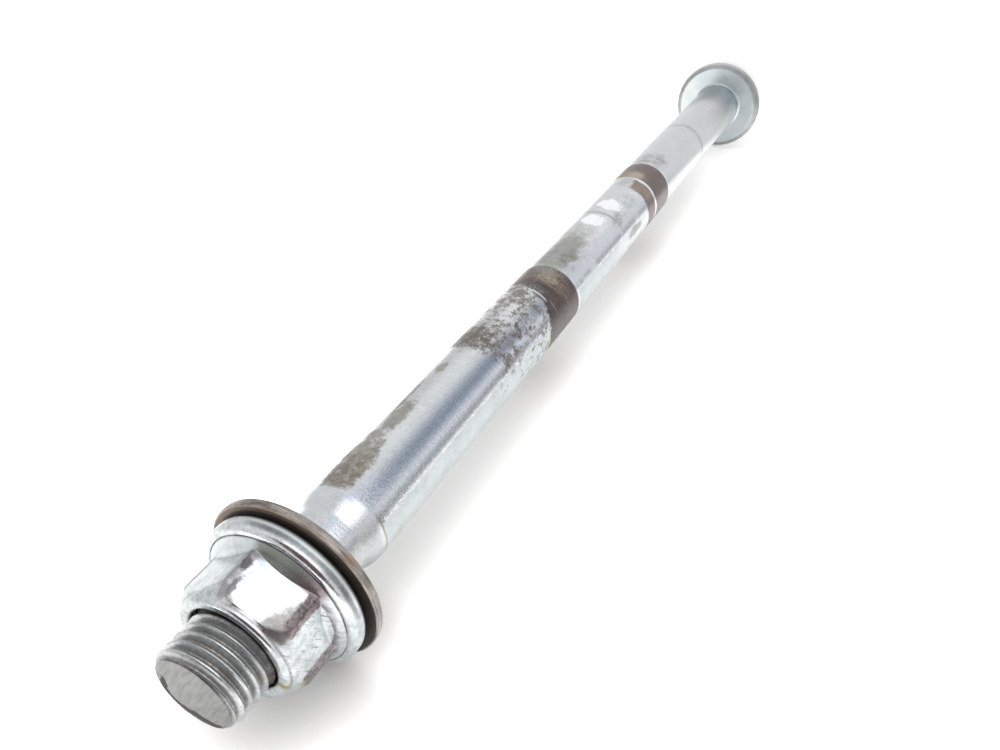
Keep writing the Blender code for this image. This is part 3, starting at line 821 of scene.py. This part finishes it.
def ringFinish():
    f = Finish("springSteel")
    grain = f.noise(2.0, 4)
    f.ground(grain.above(0.35, 0.65).over(ringTint["dark"], ringTint["brown"]), 0.35 + grain * 0.2, 0.7)
    # painted glint: bright metal on one side of the inner edge
    glint = f.radius.above(7.6, 7.35) * f.sector(-60, -20, 6)
    f.lay(glint * 0.7, ringTint["bareAndGlint"], 0.25, 1.0)
    return f.close(grain, strength=0.3, distance=0.00005)


makeAxle(axleFinish())
makeNut(nutFinish())
makeRing(ringFinish())
makeWasher(washerFinish())


# camera at the photograph's place: 36 mm past the end of the thread and 112 mm off the axis

camera = dict(
    eye=(-0.06165, -0.09374, totalLength * mm + 0.03628), lens=29.55, sensor=36, near=0.005, far=50,
    right=(-0.8940, 0.0, -0.4481), up=(0.2637, -0.8085, -0.5260))


def placeCamera():
    lens = bpy.data.cameras.new("camera")
    lens.lens, lens.sensor_width = camera["lens"], camera["sensor"]
    lens.clip_start, lens.clip_end = camera["near"], camera["far"]
    eye = bpy.data.objects.new("camera", lens)
    bpy.context.scene.collection.objects.link(eye)
    right = Vector(camera["right"]).normalized()
    back = right.cross(Vector(camera["up"])).normalized()
    up = back.cross(right)
    turn = Matrix((right, up, back)).transposed().to_4x4()
    eye.matrix_world = Matrix.Translation(camera["eye"]) @ turn
    bpy.context.scene.camera = eye
    print("camera placed")


# the stage: a floor under the head, and behind the axle the white sheet that it lies on in the photograph

stage = dict(
    size=3.0, sheetGap=0.0001, glow=1.1, paintedShadowReach=0.014, samples=12, cornerGlow=0.50, cornerWidth=0.12,
    white=(0.86, 0.852, 0.842))


def stageMaterial(name, oneSided):
    material, w = emptyMaterial(name)
    path = w.tree.nodes.new("ShaderNodeLightPath")
    byCamera, byGloss, through = (
        Wire(w.tree, path.outputs[kind]) for kind in ("Is Camera Ray", "Is Glossy Ray", "Is Transmission Ray"))
    seen = byCamera.either(byGloss).either(through)
    plain = w.node("ShaderNodeBsdfDiffuse", Color=stage["white"])
    # the corner where floor and sheet meet glows more, so that it doesn't show
    y, z = (w.node("ShaderNodeSeparateXYZ", out=k, i0=w.node("ShaderNodeNewGeometry")) for k in (1, 2))
    away = (z if oneSided else w.maths("ABSOLUTE", y - washerHigh.y)) / stage["cornerWidth"]
    corner = (1 - away).either(0.0) ** 3 * stage["cornerGlow"]
    # and right under the pieces an ambient occlusion term dims the glow, which paints their contact shadows
    free = w.node("ShaderNodeAmbientOcclusion", {"samples": stage["samples"]}, out=1, Distance=stage["paintedShadowReach"])
    glow = w.node("ShaderNodeEmission", Color=(1.0, 1.0, 1.0), Strength=seen * (corner + free ** 4 * stage["glow"]))
    both = w.node("ShaderNodeAddShader", i0=plain, i1=glow)
    if oneSided:
        behind = w.node("ShaderNodeNewGeometry", out=6)
        both = w.node("ShaderNodeMixShader", i0=behind, i1=both, i2=w.node("ShaderNodeBsdfTransparent"))
    both.toSurface()
    return material


def plane(name, matrix, material):
    shape = bmesh.new()
    bmesh.ops.create_grid(shape, x_segments=1, y_segments=1, size=stage["size"], matrix=matrix)
    piece = newPiece(name, shape)
    piece.data.materials.append(material)


def makeStage():
    plane("floor", Matrix.Identity(4), stageMaterial("floorWhite", False))
    upright = Matrix.Translation((0, washerHigh.y + stage["sheetGap"], 0)) @ Matrix.Rotation(math.radians(90), 4, "X")
    plane("sheet", upright, stageMaterial("sheetWhite", True))
    world = bpy.data.worlds.new("studio")
    world.use_nodes = True
    sky = world.node_tree.nodes["Background"]
    sky.inputs["Color"].default_value = (1, 1, 1, 1)
    sky.inputs["Strength"].default_value = 1
    bpy.context.scene.world = world
    print("floor, sheet and world ready")


# a light tent that only polished metal sees: heights in millimetres, turns in degrees, each pair where a part fades in

tent = dict(
    inner=15.0, radius=100.0, low=2.0, high=340.0, top=400.0, level=1.1, boxLevel=0.75, steps=96,
    lowHeight=(62, 12), farReach=(72, 40), farGrey=(0.88, 0.88, 0.88),
    upperHeight=(172, 196), upperGrey=(0.80, 0.81, 0.82), boxLow=(176, 190), boxHigh=(322, 308),
    boxLeft=(-22, -10), boxRight=(44, 30), boxWhite=(1.0, 1.0, 1.0),
    blueTurn=(14, 26), blueHeight=(217, 205), blue=(0.45, 0.54, 0.70),
    roofHeight=(296, 330), roofGrey=(0.74, 0.74, 0.74),
    darkHeight=(326, 340), darkLeft=(-75, -45), darkRight=(80, 50), dark=(0.13, 0.085, 0.095),
    topHeight=(386, 392), topGrey=(0.46, 0.49, 0.46),
    cloth=[(0.00, (0.95, 0.95, 0.95)), (0.206, (0.92, 0.93, 0.94)), (0.273, (0.80, 0.81, 0.82)),
           (0.318, (0.62, 0.63, 0.65)), (0.346, (0.33, 0.35, 0.37)), (0.372, (0.50, 0.52, 0.55)),
           (0.404, (1.04, 1.07, 1.12)), (0.439, (0.62, 0.66, 0.74)), (0.473, (0.30, 0.36, 0.45)),
           (0.506, (0.31, 0.37, 0.46)), (0.540, (0.50, 0.54, 0.62)), (0.573, (0.76, 0.79, 0.83)),
           (0.606, (0.92, 0.94, 0.94)), (0.640, (1.10, 1.10, 1.08)), (0.673, (1.06, 1.06, 1.05)),
           (0.706, (0.90, 0.90, 0.90)), (0.773, (0.74, 0.74, 0.73)), (0.806, (0.74, 0.74, 0.73)),
           (0.840, (0.85, 0.85, 0.84)), (1.00, (0.95, 0.95, 0.95))],
    ground=[(0.00, (0.95, 0.95, 0.94)), (0.27, (0.95, 0.95, 0.94)), (0.318, (0.62, 0.63, 0.65)),
            (0.352, (0.46, 0.48, 0.51)), (0.385, (0.84, 0.87, 0.91)), (0.440, (0.92, 0.94, 0.98)),
            (0.490, (0.96, 0.98, 1.02)), (0.545, (1.14, 1.15, 1.16)), (0.60, (1.00, 1.00, 1.00)),
            (0.80, (0.86, 0.86, 0.85)), (1.00, (0.95, 0.95, 0.94))])


def makeTent():
    radius, low = tent["radius"], tent["low"]
    wall = [(tent["inner"], low), (radius, low), (radius, tent["high"]), (0, tent["top"])]
    piece = newPiece("lightTent", turnedMesh(wall, tent["steps"]))
    material, w = emptyMaterial("tentCloth")
    place, x, y, z, turn = w.axisPlace()
    turn = turn * (180 / math.pi)
    cloth, ground = (
        w.node("ShaderNodeValToRGB", {"stops": tent[part]}, Fac=turn / 360 + 0.5) for part in ("cloth", "ground"))
    # low down it turns into the ground, which evens out where the far end of the axle looks
    reach = w.maths("SQRT", x * x + y * y)
    ground = reach.above(*tent["farReach"]).over(ground, tent["farGrey"])
    cloth = z.above(*tent["lowHeight"]).over(cloth, ground)
    # above that stands the soft box, which is bluish at its lower end on one side
    height = z.above(*tent["boxLow"]) * z.above(*tent["boxHigh"])
    box = turn.above(*tent["boxLeft"]) * turn.above(*tent["boxRight"]) * height
    bluish = box * turn.above(*tent["blueTurn"]) * z.above(*tent["blueHeight"])
    cloth = z.above(*tent["upperHeight"]).over(cloth, tent["upperGrey"])
    cloth = box.over(cloth, tent["boxWhite"])
    cloth = bluish.over(cloth, tent["blue"])
    # and over it the roof, with a dark reddish opening and a greyer top
    opening = z.above(*tent["darkHeight"]) * turn.above(*tent["darkLeft"]) * turn.above(*tent["darkRight"])
    cloth = z.above(*tent["roofHeight"]).over(cloth, tent["roofGrey"])
    cloth = opening.over(cloth, tent["dark"])
    cloth = z.above(*tent["topHeight"]).over(cloth, tent["topGrey"])
    w.node("ShaderNodeEmission", Color=cloth, Strength=box * tent["boxLevel"] + tent["level"]).toSurface()
    piece.data.materials.append(material)
    for kind in ("camera", "diffuse", "transmission", "volume_scatter", "shadow"):
        setattr(piece, "visible_" + kind, False)
    print("light tent ready")


key = dict(at=(0.30, -0.80, 0.45), target=(0, 0, 0.15), size=1.5, power=2.2)


def lamp(name, at, target, size, power):
    light = bpy.data.lights.new(name, "AREA")
    light.shape, light.size, light.size_y, light.energy = "RECTANGLE", size, size, power
    holder = bpy.data.objects.new(name, light)
    bpy.context.scene.collection.objects.link(holder)
    holder.location = at
    holder.rotation_euler = (Vector(target) - Vector(at)).to_track_quat("-Z", "Y").to_euler()
    holder.visible_glossy = False


placeCamera()
makeStage()
makeTent()
lamp("key", **key)
bpy.context.scene.view_settings.view_transform = "Standard"
print("stage and light ready")
